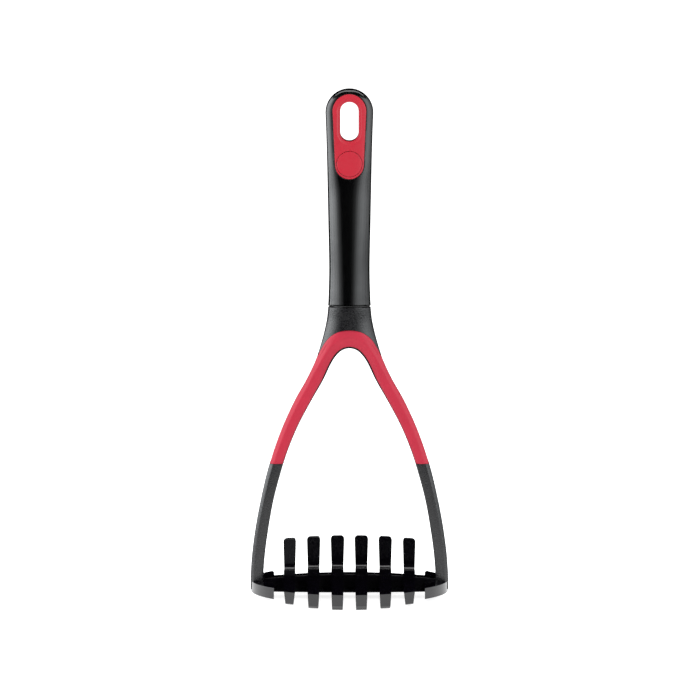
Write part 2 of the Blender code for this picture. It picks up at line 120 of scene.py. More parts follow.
def smooth_value(stations, height):
    """Value at a height, on a smooth curve through (height, value) stations in millimetres."""
    at = min(max(height / MM, stations[0][0]), stations[-1][0])
    index = max(i for i, (station, _) in enumerate(stations[:-1]) if station <= at)
    (x0, y0), (x1, y1) = stations[index], stations[index + 1]
    slopes = []
    for i in (index, index + 1):
        before, after = neighbours(stations, i)
        slopes.append((after[1] - before[1]) / (after[0] - before[0]))
    span = x1 - x0
    start, leave, end, arrive = hermite((at - x0) / span)
    return (start * y0 + leave * span * slopes[0] + end * y1 + arrive * span * slopes[1]) * MM


def smooth_path(points):
    """A smooth path through listed points in millimetres, starting level."""
    path = []
    for index in range(len(points) - 1):
        here, there = points[index], points[index + 1]
        heading = direction(points, index) if index else (1.0, 0.0)
        arrival = direction(points, index + 1)
        span = hypot(there[0] - here[0], there[1] - here[1])
        for step in range(PATH_STEPS):
            start, leave, end, arrive = hermite(step / PATH_STEPS)
            path.append(tuple((here[k] * start + there[k] * end
                               + heading[k] * (leave * span) + arrival[k] * (arrive * span)) * MM
                              for k in (0, 1)))
    path.append((points[-1][0] * MM, points[-1][1] * MM))
    return path


def offset_path(path, distance_at):
    """The path moved to its left, by a distance that depends on the height."""
    moved = []
    for index, (u, v) in enumerate(path):
        du, dv = direction(path, index)
        distance = distance_at(v)
        moved.append((u - dv * distance, v + du * distance))
    return moved


def mirrored(path):
    """The path with its mirror image across x = 0, which it starts on."""
    return [(-u, v) for u, v in reversed(path[1:])] + list(path)


def arc(centre, radius, start, end, steps=10):
    """Points on an arc, from one angle in degrees to another."""
    for step in range(steps + 1):
        angle = radians(start + (end - start) * step / steps)
        yield centre[0] + radius * cos(angle), centre[1] + radius * sin(angle)


def rounding(radius, degrees):
    """Points round a rounded edge, as distances in from its wall and down from its face."""
    for angle in map(radians, degrees):
        yield radius * (1 - cos(angle)), radius * (1 - sin(angle))


def ease(t):
    """A smooth step from 0 to 1."""
    t = min(max(t, 0.0), 1.0)
    return t * t * (3 - 2 * t)


# ---------------------------------------------------------------- meshes

def finish_mesh(bm, name):
    """Makes an object of the mesh, with its faces turned outwards."""
    bmesh.ops.recalc_face_normals(bm, faces=bm.faces)
    mesh = bpy.data.meshes.new(name)
    bm.to_mesh(mesh)
    bm.free()
    thing = bpy.data.objects.new(name, mesh)
    bpy.context.scene.collection.objects.link(thing)
    return thing


def bridge(bm, low, high):
    """A band of faces between two rings of vertices."""
    count = len(low)
    for at in range(count):
        after = (at + 1) % count
        bm.faces.new((low[at], low[after], high[after], high[at]))


def loft(name, rings, looped=False):
    """A solid through rings of points: capped at both ends, or looped back to its start."""
    bm = bmesh.new()
    rows = [[bm.verts.new(point) for point in ring] for ring in rings]
    for low, high in zip(rows, rows[1:]):
        bridge(bm, low, high)
    if looped:
        bridge(bm, rows[-1], rows[0])
    else:
        bm.faces.new(reversed(rows[0]))
        bm.faces.new(rows[-1])
    return finish_mesh(bm, name)


# The planes that outlines are drawn in: X and Z, Y and Z, X and Y
FRONT_PLANE = Matrix.Rotation(radians(90), 4, "X")
SIDE_PLANE = Matrix.Rotation(radians(90), 4, "Z") @ Matrix.Rotation(radians(90), 4, "X")
TOP_PLANE = Matrix.Identity(4)


def slab(name, outline, thickness, plane, place=(0, 0, 0)):
    """A flat outline given a thickness, centred on a place."""
    bm = bmesh.new()
    half = thickness / 2
    rows = [[bm.verts.new((u, v, side)) for u, v in outline] for side in (-half, half)]
    bridge(bm, *rows)
    bm.faces.new(reversed(rows[0]))
    bm.faces.new(rows[1])
    bm.transform(Matrix.Translation(place) @ plane)
    return finish_mesh(bm, name)


def settle(thing):
    """Turns the object's modifiers into its mesh."""
    bpy.context.view_layer.update()
    evaluated = thing.evaluated_get(bpy.context.evaluated_depsgraph_get())
    mesh = bpy.data.meshes.new_from_object(evaluated)
    mesh.name = thing.name
    thing.modifiers.clear()
    thing.data = mesh


def boolean(thing, cutter, operation="DIFFERENCE", solver="EXACT"):
    """Combines a thing with a cutter, which is used up."""
    modifier = thing.modifiers.new(operation, "BOOLEAN")
    modifier.operation = operation
    modifier.solver = solver
    modifier.object = cutter
    settle(thing)
    bpy.data.objects.remove(cutter, do_unlink=True)


def bevel(thing, width, segments):
    """Rounds every edge that turns by more than 35 degrees."""
    modifier = thing.modifiers.new("Bevel", "BEVEL")
    modifier.width = width
    modifier.segments = segments
    modifier.limit_method = "ANGLE"
    modifier.angle_limit = radians(35)
    settle(thing)


def shade_evenly(thing):
    """Keeps the shading of large flat faces flat, up to their rounded edges."""
    modifier = thing.modifiers.new("Even shading", "WEIGHTED_NORMAL")
    modifier.keep_sharp = True


def section(half_width, half_depth, corner_x, corner_y, squareness, height, corner_steps):
    """A level ring with rounded corners: squareness 1 is a chamfer, and 2 an ellipse's arc."""
    ring = []
    for quadrant in range(4):
        sign_x = 1 if quadrant in (0, 3) else -1
        sign_y = 1 if quadrant in (0, 1) else -1
        for step in range(corner_steps + 1):
            t = step / corner_steps
            angle = (t if quadrant in (0, 2) else 1 - t) * pi / 2
            x = half_width - corner_x + corner_x * abs(cos(angle)) ** (2 / squareness)
            y = half_depth - corner_y + corner_y * abs(sin(angle)) ** (2 / squareness)
            ring.append((sign_x * x, sign_y * y, height))
    return ring


# ---------------------------------------------------------------- materials
# Texture scales are per metre, and the bumps' distances are in metres.

NOISE_LOW, NOISE_HIGH = 0.3, 0.7       # where most of a noise texture's values lie


def material(name, colour, roughness):
    """A Principled material with an even colour and roughness."""
    made = bpy.data.materials.new(name)
    made.use_nodes = True
    shader = made.node_tree.nodes["Principled BSDF"]
    shader.inputs["Base Color"].default_value = (*colour, 1)
    shader.inputs["Roughness"].default_value = roughness
    return made


class Nodes:
    """Short names for the node calls that the materials share."""

    def __init__(self, made):
        self.tree = made.node_tree
        self.shader = self.tree.nodes["Principled BSDF"]
        self.coordinates = self.tree.nodes.new("ShaderNodeTexCoord").outputs["Object"]

    def link(self, output, target):
        self.tree.links.new(output, target)

    def noise(self, scale, detail, stretch=None):
        """Noise in the object's own coordinates, drawn out along an axis if asked."""
        node = self.tree.nodes.new("ShaderNodeTexNoise")
        node.inputs["Scale"].default_value = scale
        node.inputs["Detail"].default_value = detail
        source = self.coordinates
        if stretch:
            mapping = self.tree.nodes.new("ShaderNodeMapping")
            mapping.inputs["Scale"].default_value = stretch
            self.link(source, mapping.inputs["Vector"])
            source = mapping.outputs["Vector"]
        self.link(source, node.inputs["Vector"])
        return node.outputs["Fac"]

    def grains(self, scale):
        """Small round cells."""
        node = self.tree.nodes.new("ShaderNodeTexVoronoi")
        node.inputs["Scale"].default_value = scale
        self.link(self.coordinates, node.inputs["Vector"])
        return node.outputs["Distance"]

    def spread(self, value, low, high):
        """A noise's values, spread over a range."""
        node = self.tree.nodes.new("ShaderNodeMapRange")
        for name, number in (("From Min", NOISE_LOW), ("From Max", NOISE_HIGH),
                             ("To Min", low), ("To Max", high)):
            node.inputs[name].default_value = number
        self.link(value, node.inputs["Value"])
        return node.outputs["Result"]

    def colours(self, value, low, high):
        """Colours the material between two colours, by a noise's values."""
        ramp = self.tree.nodes.new("ShaderNodeValToRGB")
        for stop, position, colour in zip(ramp.color_ramp.elements, (NOISE_LOW, NOISE_HIGH),
                                          (low, high)):
            stop.position = position
            stop.color = (*colour, 1)
        self.link(value, ramp.inputs["Fac"])
        self.link(ramp.outputs["Color"], self.shader.inputs["Base Color"])

    def bump(self, value, distance, strength, below=None):
        """A normal roughened by a height, over another such normal if there is one."""
        node = self.tree.nodes.new("ShaderNodeBump")
        node.inputs["Strength"].default_value = strength
        node.inputs["Distance"].default_value = distance
        self.link(value, node.inputs["Height"])
        if below:
            self.link(below, node.inputs["Normal"])
        return node.outputs["Normal"]


def gloss_black():
    """Polished black plastic with a faint orange peel and upright hairlines."""
    made = material("gloss_black", (0.0004, 0.0004, 0.0004), 0.17)
    n = Nodes(made)
    n.shader.inputs["IOR"].default_value = 1.5
    n.colours(n.noise(60, 3), (0.0003, 0.0003, 0.0004), (0.0006, 0.0006, 0.0007))
    n.link(n.spread(n.noise(220, 4), 0.15, 0.19), n.shader.inputs["Roughness"])
    peel = n.bump(n.noise(400, 2), 0.000006, 0.1)
    hairlines = n.bump(n.noise(600, 3, (1, 1, 0.04)), 0.000004, 0.1, peel)
    n.link(hairlines, n.shader.inputs["Normal"])
    return made


def moulded_black(name, roughness, grain):
    """Textured black nylon, from a roughness and the depth of its grain."""
    made = material(name, (0.0007, 0.0006, 0.0012), roughness)
    n = Nodes(made)
    n.shader.inputs["IOR"].default_value = 1.5
    n.colours(n.noise(900, 4), (0.0004, 0.0003, 0.0008), (0.0012, 0.0009, 0.0018))
    n.link(n.spread(n.noise(1100, 3), 0.75 * roughness, 1.25 * roughness),
           n.shader.inputs["Roughness"])
    spark = n.bump(n.grains(1500), grain, 0.5)
    texture = n.bump(n.noise(1100, 3), grain, 0.7, spark)
    n.link(texture, n.shader.inputs["Normal"])
    return made


def satin_red():
    """Smooth red plastic of the inserts."""
    made = material("satin_red", (0.25, 0.0065, 0.0155), 0.36)
    n = Nodes(made)
    n.shader.inputs["Specular IOR Level"].default_value = 0.26
    n.colours(n.noise(70, 3), (0.243, 0.0062, 0.015), (0.257, 0.0069, 0.016))
    n.link(n.spread(n.noise(500, 3), 0.32, 0.4), n.shader.inputs["Roughness"])
    n.link(n.bump(n.noise(2400, 2), 0.00002, 0.3), n.shader.inputs["Normal"])
    return made


def soft_red():
    """Soft-touch red of the sleeve, with a little sheen."""
    made = material("soft_red", (0.25, 0.0055, 0.0195), 0.5)
    n = Nodes(made)
    n.shader.inputs["Specular IOR Level"].default_value = 0.22
    n.shader.inputs["Sheen Weight"].default_value = 0.03
    n.shader.inputs["Sheen Roughness"].default_value = 0.5
    n.colours(n.noise(120, 4), (0.24, 0.005, 0.0185), (0.26, 0.006, 0.0205))
    n.link(n.spread(n.noise(700, 3), 0.46, 0.56), n.shader.inputs["Roughness"])
    n.link(n.bump(n.noise(1500, 3), 0.00005, 0.5), n.shader.inputs["Normal"])
    return made


def dress(piece, made, slot, *nodes):
    """Gives a piece its material and its body, and hides the CAD nodes it stands for. The slot is
    not used.
    """
    piece.data.materials.clear()
    piece.data.materials.append(made)
    piece.data.shade_smooth()
    piece.data.set_sharp_from_angle(angle=radians(50))     # only real corners stay hard
    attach(piece, "root")
    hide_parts(*nodes)


# ---------------------------------------------------------------- handle

OVAL = 2.05                            # squareness of the handle's foot and of the collar
INSERT_LOW, INSERT_RISE = 208 * MM, 32 * MM    # where the handle's face flattens for the insert
DOME_FLATNESS = 0.6                    # how fast the dome thins out, against its width
WIDTH_LIMIT, RISE_LIMIT = 0.9999, 0.99999      # just short of the edges, where depths vanish
RIM_POINTS = 360


def handle_station(height):
    """Half width, half depth and squareness of the handle at a height."""
    share = min(max(height - HANDLE_BOTTOM, 0.0) / (DOME_BASE - HANDLE_BOTTOM), 1.0)
    squareness = OVAL + 0.75 * share ** 0.8 + 1.4 * ease((height - INSERT_LOW) / INSERT_RISE)
    if height <= DOME_BASE:
        return (smooth_value(HANDLE_HALF_WIDTH, height), smooth_value(HANDLE_HALF_DEPTH, height),
                squareness)
    rise = min((height - DOME_BASE) / DOME_RADIUS, RISE_LIMIT)
    level = sqrt(1 - rise * rise)
    return (HANDLE_HALF_WIDTH[-1][1] * MM * level,
            HANDLE_HALF_DEPTH[-1][1] * MM * level ** DOME_FLATNESS, squareness)


def handle_surface(x, height):
    """Half the handle's thickness at a point of its front view."""
    width, depth, squareness = handle_station(height)
    across = min(abs(x) / width, WIDTH_LIMIT)
    return depth * (1 - across ** squareness) ** (1 / squareness)


def plate_surface(x, height):
    """Depth of the red plates' faces at a point of their front view."""
    return handle_surface(x, height) - PLATE_INSET


def handle_ring(height, shrink=0.0):
    """The handle's level section at a height."""
    width, depth, squareness = handle_station(height)
    corner_steps = 30
    return section(width - shrink, depth - shrink, width - shrink, depth - shrink, squareness,
                   height, corner_steps)


def plate_radius(angle, grow=0.0):
    """Distance from the slot's middle to the plate's outline, in a direction."""
    return ray_to_outline(angle, (PLATE_TOP_CENTRE, PLATE_TOP_RADIUS + grow),
                          (PLATE_LOW_CENTRE, PLATE_LOW_RADIUS + grow))


def slot_radius(angle, grow=0.0):
    """Distance from the slot's middle to its wall, in a direction."""
    radius = SLOT_HALF_WIDTH + grow
    return ray_to_outline(angle, (SLOT_TOP - SLOT_HALF_WIDTH, radius),
                          (SLOT_BOTTOM + SLOT_HALF_WIDTH, radius))


def ray_to_outline(angle, top, low):
    """Where a ray from the slot's middle leaves the outline round two circles."""
    dx, dz = cos(angle), sin(angle)
    lean = (top[1] - low[1]) / (top[0] - low[0])
    side = sqrt(1 - lean * lean)
    if abs(dx) > 1e-9:
        # the straight side, which touches both circles
        start = top[1] - (top[0] - SLOT_MIDDLE) * lean
        reach = start / (abs(dx) * side - dz * lean)
        height = SLOT_MIDDLE + reach * dz
        touch_top, touch_low = top[0] + top[1] * lean, low[0] + low[1] * lean
        if reach > 0 and touch_low <= height <= touch_top:
            return reach
    centre, radius = top if dz > 0 else low
    drop = centre - SLOT_MIDDLE
    along = drop * dz
    return along + sqrt(radius * radius - drop * drop + along * along)


def rim(radius_at, grow, depth_at):
    """A ring of points round the slot's middle, each at its own depth."""
    ring = []
    for step in range(RIM_POINTS):
        angle = 2 * pi * (step + 0.5) / RIM_POINTS
        reach = radius_at(angle, grow)
        x, z = reach * cos(angle), SLOT_MIDDLE + reach * sin(angle)
        ring.append((x, depth_at(x, z), z))
    return ring


def make_handle():
    """The black handle: rounded at its foot, domed at its top, cut for the plates and the slot."""
    foot_edge = 0.3 * MM
    levels, dome_steps = 110, 30
    top = 0.99995                      # of the dome's radius, where it is closed by a tiny face
    rings = [[(x, y, HANDLE_BOTTOM + rise) for x, y, _ in handle_ring(HANDLE_BOTTOM, inset)]
             for inset, rise in rounding(foot_edge, (90, 67, 45, 22))]
    for step in range(levels + 1):
        rings.append(handle_ring(HANDLE_BOTTOM + foot_edge
                                 + (DOME_BASE - HANDLE_BOTTOM - foot_edge) * step / levels))
    for step in range(1, dome_steps):
        rings.append(handle_ring(DOME_BASE + DOME_RADIUS * sin(pi / 2 * step / dome_steps)))
    rings.append(handle_ring(DOME_BASE + DOME_RADIUS * top))
    handle = loft("handle", rings)
    for face in (-1, 1):
        boolean(handle, recess_cutter(face))
    boolean(handle, loft("hole", [rim(slot_radius, LINING + SEAM, lambda x, z: y)
                                  for y in (-OUTSIDE, OUTSIDE)]))
    return handle


def recess_cutter(face):
    """The plate's recess, whose mouth is slightly rounded."""
    lip = 0.25 * MM
    flare = SEAM + 1.6 * lip
    floor = PLATE_BACK - SEAM
    rings = [rim(plate_radius, SEAM, lambda x, z: face * floor)]
    for inset, drop in rounding(lip, (0, 30, 60, 85)):
        rings.append(rim(plate_radius, SEAM + inset,
                         lambda x, z: face * (handle_surface(x, z) - drop)))
    rings.append(rim(plate_radius, flare, lambda x, z: face * (handle_surface(x, z) + lip)))
    rings.append(rim(plate_radius, flare, lambda x, z: face * OUTSIDE))
    return loft("recess", rings)


def make_plate(name, face):
    """A red plate with its half of the slot's lining, and a shallow step round the slot."""
    draft, slot_edge, outer_edge = 0.15 * MM, 0.5 * MM, 0.3 * MM
    band, slope, step_down = 1.1 * MM, 0.6 * MM, 0.4 * MM
    crease = 0.12 * MM                 # softens the step's two corners
    half_gap = 0.02 * MM               # between the linings of the two plates
    spans = 56

    def level(depth):
        return lambda x, z: face * depth

    def sunk(sink):
        return lambda x, z: face * (plate_surface(x, z) - sink)

    def between(share):
        def radius_at(angle, grow):
            inner = slot_radius(angle, band + slope + crease)
            outer = plate_radius(angle, -outer_edge)
            return inner + (outer - inner) * share
        return radius_at

    # the slot's wall and its rounded mouth
    rings = [rim(slot_radius, 0, level(half_gap)),
             rim(slot_radius, draft, sunk(step_down + slot_edge))]
    for inset, drop in rounding(slot_edge, (15, 30, 45, 60, 75, 90)):
        rings.append(rim(slot_radius, draft + inset, sunk(step_down + drop)))
    # the step round the slot, and the face
    for grow, sink in ((band - crease, step_down), (band + crease, step_down - crease),
                       (band + slope - crease, crease), (band + slope + crease, 0.0)):
        rings.append(rim(slot_radius, grow, sunk(sink)))
    for step in range(1, spans):
        rings.append(rim(between(step / spans), 0, sunk(0)))
    # the rounded outer edge, the back and the outside of the lining
    for inset, drop in rounding(outer_edge, (90, 60, 30, 0)):
        rings.append(rim(plate_radius, -inset, sunk(drop)))
    rings.append(rim(plate_radius, 0, level(PLATE_BACK)))
    rings.append(rim(slot_radius, LINING, level(PLATE_BACK)))
    rings.append(rim(slot_radius, LINING, level(half_gap)))
    return loft(name, rings, looped=True)


def disc_ring(radius, depth_at):
    """A ring of points round the badge's middle, each at its own depth."""
    points = 128
    ring = []
    for step in range(points):
        angle = 2 * pi * step / points
        x, z = radius * cos(angle), BADGE_CENTRE + radius * sin(angle)
        ring.append((x, depth_at(x, z), z))
    return ring


def make_badge(plate):
    """A plain disc in a round pocket, with a fine groove round it."""
    groove, edge = 0.14 * MM, 0.28 * MM
    thickness = 0.9 * MM
    centre = 0.05 * MM                 # radius of the tiny face that closes the disc
    spans = 20

    def sunk(sink):
        return lambda x, z: -(plate_surface(x, z) - sink)

    wall = BADGE_RADIUS + groove
    pocket = [disc_ring(wall, sunk(thickness + groove))]
    for inset, drop in rounding(edge, (0, 45, 85)):
        pocket.append(disc_ring(wall + inset, sunk(drop)))
    pocket.append(disc_ring(wall + 1.5 * edge, sunk(-edge)))
    pocket.append(disc_ring(wall + 1.5 * edge, lambda x, z: -OUTSIDE))
    boolean(plate, loft("pocket", pocket))

    rings = [disc_ring(BADGE_RADIUS, sunk(thickness))]
    for inset, drop in rounding(edge, (0, 30, 60, 90)):
        rings.append(disc_ring(BADGE_RADIUS - inset, sunk(drop)))
    for step in range(1, spans):
        rings.append(disc_ring((BADGE_RADIUS - edge) * (1 - step / spans), sunk(0)))
    rings.append(disc_ring(centre, sunk(0)))
    return loft("badge_disc", rings)


# ---------------------------------------------------------------- frame and sleeve

ARM_CHAMFER_X, ARM_CHAMFER_Y = 1.8 * MM, 1.5 * MM
ARM_SQUARENESS, NECK_GAIN = 1.2, 0.85  # of the arms' chamfers, and what the neck adds to it
BLEND_LOW, BLEND_HIGH = 120 * MM, 147 * MM     # where the chamfered arms become the oval neck
FRAME_CORNER_STEPS = 14
SLEEVE_WALL, SLEEVE_FACE = 1.5 * MM, 1.3 * MM  # the sleeve's thickness at its sides and faces
SLEEVE_INSET = 0.1 * MM                # how far it lies below the frame's faces and sides


def frame_station(height):
    """Half width, half depth, corner sizes and corner squareness of the frame at a height."""
    width = smooth_value(FRAME_HALF_WIDTH, height)
    depth = smooth_value(FRAME_HALF_DEPTH, height)
    share = ease((height - BLEND_LOW) / (BLEND_HIGH - BLEND_LOW))
    corner_x = ARM_CHAMFER_X + (width - ARM_CHAMFER_X) * share
    corner_y = ARM_CHAMFER_Y + (depth - ARM_CHAMFER_Y) * share
    return width, depth, corner_x, corner_y, ARM_SQUARENESS + NECK_GAIN * share


def frame_ring(height, side_cut=0.0, face_cut=0.0):
    """Full-width section: chamfered along the arms, and oval where the neck meets the handle."""
    width, depth, corner_x, corner_y, squareness = frame_station(height)
    width, depth = width - side_cut, depth - face_cut
    return section(width, depth, min(corner_x, width), min(corner_y, depth), squareness, height,
                   FRAME_CORNER_STEPS)


def frame_skin(x, height):
    """Half the frame's thickness at a point of its front view."""
    width, depth, corner_x, corner_y, squareness = frame_station(height)
    over = min(max((abs(x) - width + corner_x) / corner_x, 0.0), 1.0)
    return depth - corner_y + corner_y * (1 - over ** squareness) ** (1 / squareness)


def frame_rings(low, high, levels, side_cut=0.0, face_cut=0.0):
    """Evenly spaced sections of the frame, with its arms still joined across the opening."""
    return [frame_ring(low + (high - low) * step / levels, side_cut, face_cut)
            for step in range(levels + 1)]


def opening_cutter():
    """The space between the arms, flared at the faces to chamfer the arms' inner edges."""
    path = smooth_path(OPENING_EDGE)
    flare, flare_depth = 0.55 * MM, 0.6 * MM
    # height over the frame's face, and widening there
    steps = ((-4.0 * MM, 0.0), (-flare_depth, 0.0), (0.0, flare), (2.0 * MM, flare * 4))
    rings = []
    for side in (-1, 1):
        rows = []
        for rise, widen in steps:
            moved = offset_path(path, lambda v: widen)
            edge = mirrored([(max(u, 0.0), v) for u, v in moved])
            rows.append([(u, side * (smooth_value(FRAME_HALF_DEPTH, v) + rise), v)
                         for u, v in edge])
        rings += rows[::-1] if side < 0 else rows
    return loft("opening", rings)


def sleeve_room():
    """What the frame gives up to the sleeve: its skin, from the arch's top to the sleeve's end."""
    levels, outside = 60, 1.0 * MM
    room_top, core_bottom, core_top = 145 * MM, 60 * MM, 149 * MM
    room = loft("room", frame_rings(SLEEVE_BOTTOM - SEAM, room_top, levels, -outside, -outside))
    above = mirrored(offset_path(smooth_path(ARCH_EDGE), lambda v: SEAM / 2))
    far, base, thickness = 70 * MM, 40 * MM, 60 * MM
    region = [(-far, base), (-far, above[0][1])] + above + [(far, above[-1][1]), (far, base)]
    boolean(room, slab("region", region, thickness, FRONT_PLANE), "INTERSECT")
    boolean(room, loft("core", frame_rings(core_bottom, core_top, levels, SLEEVE_WALL + SEAM,
                                           SLEEVE_FACE + SEAM)))
    return room


def make_wishbone():
    """Neck, arms and the collar in the groove, with a recess all round for the sleeve."""
    collar_x, collar_y = 8.6 * MM, 6.0 * MM
    collar_top = HANDLE_BOTTOM + 0.6 * MM
    edge, levels = 0.2 * MM, 110
    rings = frame_rings(ARM_BOTTOM, FRAME_TOP - edge, levels)
    rings += [[(x, y, FRAME_TOP - drop) for x, y, _ in frame_ring(FRAME_TOP - edge, inset, inset)]
              for inset, drop in rounding(edge, (30, 60, 90))]
    rings += [section(collar_x, collar_y, collar_x, collar_y, OVAL, height, FRAME_CORNER_STEPS)
              for height in (FRAME_TOP, collar_top)]
    bone = loft("wishbone", rings)
    boolean(bone, opening_cutter())
    boolean(bone, sleeve_room())
    shade_evenly(bone)
    return bone


def resample(path, count):
    """The path as evenly spaced points."""
    lengths = [0.0]
    for (u0, v0), (u1, v1) in zip(path, path[1:]):
        lengths.append(lengths[-1] + hypot(u1 - u0, v1 - v0))
    points, index = [], 0
    for step in range(count + 1):
        reach = lengths[-1] * step / count
        while index < len(lengths) - 2 and lengths[index + 1] < reach:
            index += 1
        share = (reach - lengths[index]) / (lengths[index + 1] - lengths[index])
        (u0, v0), (u1, v1) = path[index], path[index + 1]
        points.append((u0 + (u1 - u0) * share, v0 + (v1 - v0) * share))
    return points


def sleeve_edges(stations):
    """Inner and outer edge of the sleeve's front view, from the arch's middle to its right end."""
    def bare_edge(height):
        """Width of the frame that shows inside the sleeve: more round the arch than below."""
        return 0.3 * MM + 0.6 * MM * ease((height - 95 * MM) / (35 * MM))

    inner = [(max(u, 0.0), v) for u, v in offset_path(smooth_path(OPENING_EDGE), bare_edge)]
    below = next(i for i, (u, v) in enumerate(inner) if v < SLEEVE_BOTTOM)
    (u0, v0), (u1, v1) = inner[below - 1], inner[below]
    share = (v0 - SLEEVE_BOTTOM) / (v0 - v1)
    inner = inner[:below] + [(u0 + (u1 - u0) * share, SLEEVE_BOTTOM)]

    outer = [(u, v) for u, v in smooth_path(ARCH_EDGE)
             if u < smooth_value(FRAME_HALF_WIDTH, v) - SLEEVE_INSET]
    start, steps = outer[-1][1], 60
    for step in range(1, steps + 1):
        v = start + (SLEEVE_BOTTOM - start) * step / steps
        outer.append((smooth_value(FRAME_HALF_WIDTH, v) - SLEEVE_INSET, v))
    return list(zip(resample(inner, stations), resample(outer, stations)))


def sleeve_ring(inner, outer, side):
    """A section across the sleeve: open towards the inside, bevelled along both edges."""
    across = hypot(outer[0] - inner[0], outer[1] - inner[1])
    # the bevels are narrow along the arms and wide over the arch
    widening = ease((outer[1] - 116 * MM) / (20 * MM))
    outer_bevel = 1.9 * MM + 2.3 * MM * widening
    inner_bevel, inner_drop = 1.3 * MM + 3.5 * MM * widening, 0.8 * MM + 0.5 * MM * widening
    least_drop = 0.4 * MM
    round_edge, crease = 0.25 * MM, 0.2 * MM

    def place(s):
        """The point (x, height) at a distance from the inner edge."""
        share = s / across
        return inner[0] + (outer[0] - inner[0]) * share, inner[1] + (outer[1] - inner[1]) * share

    def face(s):
        """Depth of the sleeve's flat face."""
        return smooth_value(FRAME_HALF_DEPTH, place(s)[1]) - SLEEVE_INSET

    edge = min(frame_skin(*outer), face(across) - least_drop)

    def level(s):
        """Depth of the sleeve's surface, with its bevels."""
        if s < inner_bevel:
            return face(s) - inner_drop * (1 - s / inner_bevel)
        from_outer = across - s
        if from_outer < outer_bevel:
            return edge + (face(s) - edge) * from_outer / outer_bevel
        return face(s)

    samples = [round_edge, inner_bevel - crease, inner_bevel + crease]
    start, end = inner_bevel + crease, across - outer_bevel - crease
    samples += [start + (end - start) * part / 4 for part in (1, 2, 3, 4)]
    start, end = across - outer_bevel + crease, across - round_edge
    samples += [start + (end - start) * part / 4 for part in range(5)]
    soft = 0.3 * round_edge
    profile = [(0.0, face(0) - SLEEVE_FACE), (0.0, level(0) - round_edge), (soft, level(0) - soft)]
    profile += [(s, level(s)) for s in samples]
    profile += [(across - soft, edge - soft), (across, edge - round_edge), (across, edge / 2)]
    ring = [(s, -depth) for s, depth in profile] + [(s, depth) for s, depth in reversed(profile)]
    core = face(across) - SLEEVE_FACE
    ring += [(across - SLEEVE_WALL, core), (across - SLEEVE_WALL, -core)]
    return [(side * place(s)[0], y, place(s)[1]) for s, y in ring]


def make_sleeve():
    """The red sleeve, from the lower end of one arm over the arch to the other."""
    stations = 90
    edges = sleeve_edges(stations)
    rings = [sleeve_ring(inner, outer, -1) for inner, outer in reversed(edges[1:])]
    rings += [sleeve_ring(inner, outer, 1) for inner, outer in edges]
    return loft("sleeve", rings)


# ---------------------------------------------------------------- masher head

# Inner, middle and outer pairs of tines, in millimetres: chamfer of the lower front edge, and
# half width at the bottom, at the crease and at the top of the raised end, the tab
TINE_CHAMFERS = (3.0, 1.6, 0.8)
TINE_HALF_WIDTHS = ((2.8, 3.1, 3.55), (2.6, 3.05, 3.5), (2.1, 2.9, 3.3))
TINE_CREASE = 8.5 * MM                 # height where the side walls change their lean
TINE_FRONT, TINE_REAR = 8.2 * MM, 9.5 * MM     # height of the upper face at both ends
TAB_TOP = INNER_TINE_HIGH.z
TAB_THICK = 3.4 * MM
# How fast the tines and feet spread towards the rear, per metre: the tines then keep their
# spacing in the view, as they would for a camera much farther away
SPLAY = 0.42

# The head's oval outline: half its depth, from the corner of an inner tab that touches it
INNER_CORNER = TINE_PITCH / 2 - TINE_HALF_WIDTHS[0][2] * MM
HEAD_B = INNER_TINE_HIGH.y / sqrt(1 - (INNER_CORNER / HEAD_A) ** 2)


def head_edge(x):
    """How far the head's oval outline stands to the front and rear at a place across it."""
    return HEAD_B * sqrt(1 - (x / HEAD_A) ** 2)


def make_foot(side):
    """An end of the oval, cut off straight on the side of the tines."""
    reach = head_edge(FOOT_CHORD)
    rear_corner, edge = 7.0 * MM, 0.7 * MM
    steps = 40
    outline = []
    for step in range(steps + 1):
        y = -reach + 2 * reach * step / steps
        outline.append((side * HEAD_A * sqrt(1 - (y / HEAD_B) ** 2), y))
    foot = slab("foot", outline, FOOT_HIGH.z - FOOT_LOW.z, TOP_PLANE,
                (0, 0, (FOOT_HIGH.z + FOOT_LOW.z) / 2))
    round_rear_corner(foot, reach, rear_corner)
    bevel(foot, edge, 3)
    return foot


def round_rear_corner(foot, reach, width):
    """Rounds the foot's upright corner next to the tines' raised ends."""
    bm = bmesh.new()
    bm.from_mesh(foot.data)
    close = 0.001 * MM
    corner = [edge for edge in bm.edges if all(vert.co.y > reach - close for vert in edge.verts)]
    bmesh.ops.bevel(bm, geom=corner, offset=width, segments=8, profile=0.5, affect="EDGES")
    bm.to_mesh(foot.data)
    bm.free()


def make_crossbar():
    """The arched bar from foot to foot, whose faces lean in towards the top."""
    steps = 48
    end = BAR_HIGH.x + 1.0 * MM
    top_drop, bottom_rise = 2.3 * MM, 0.5 * MM
    lean, edge = 0.2, 0.5 * MM
    xs = [-end + 2 * end * step / steps for step in range(steps + 1)]
    over = [(x, BAR_HIGH.z - top_drop * (x / BAR_HIGH.x) ** 2) for x in reversed(xs)]
    under = [(x, BAR_LOW.z + bottom_rise * (x / BAR_HIGH.x) ** 2) for x in xs]
    bar = slab("bar", under + over, BAR_HIGH.y - BAR_LOW.y, FRONT_PLANE)
    for vert in bar.data.vertices:
        vert.co.y -= copysign(max(vert.co.z - BAR_LOW.z, 0.0) * lean, vert.co.y)
    bevel(bar, edge, 2)
    return bar


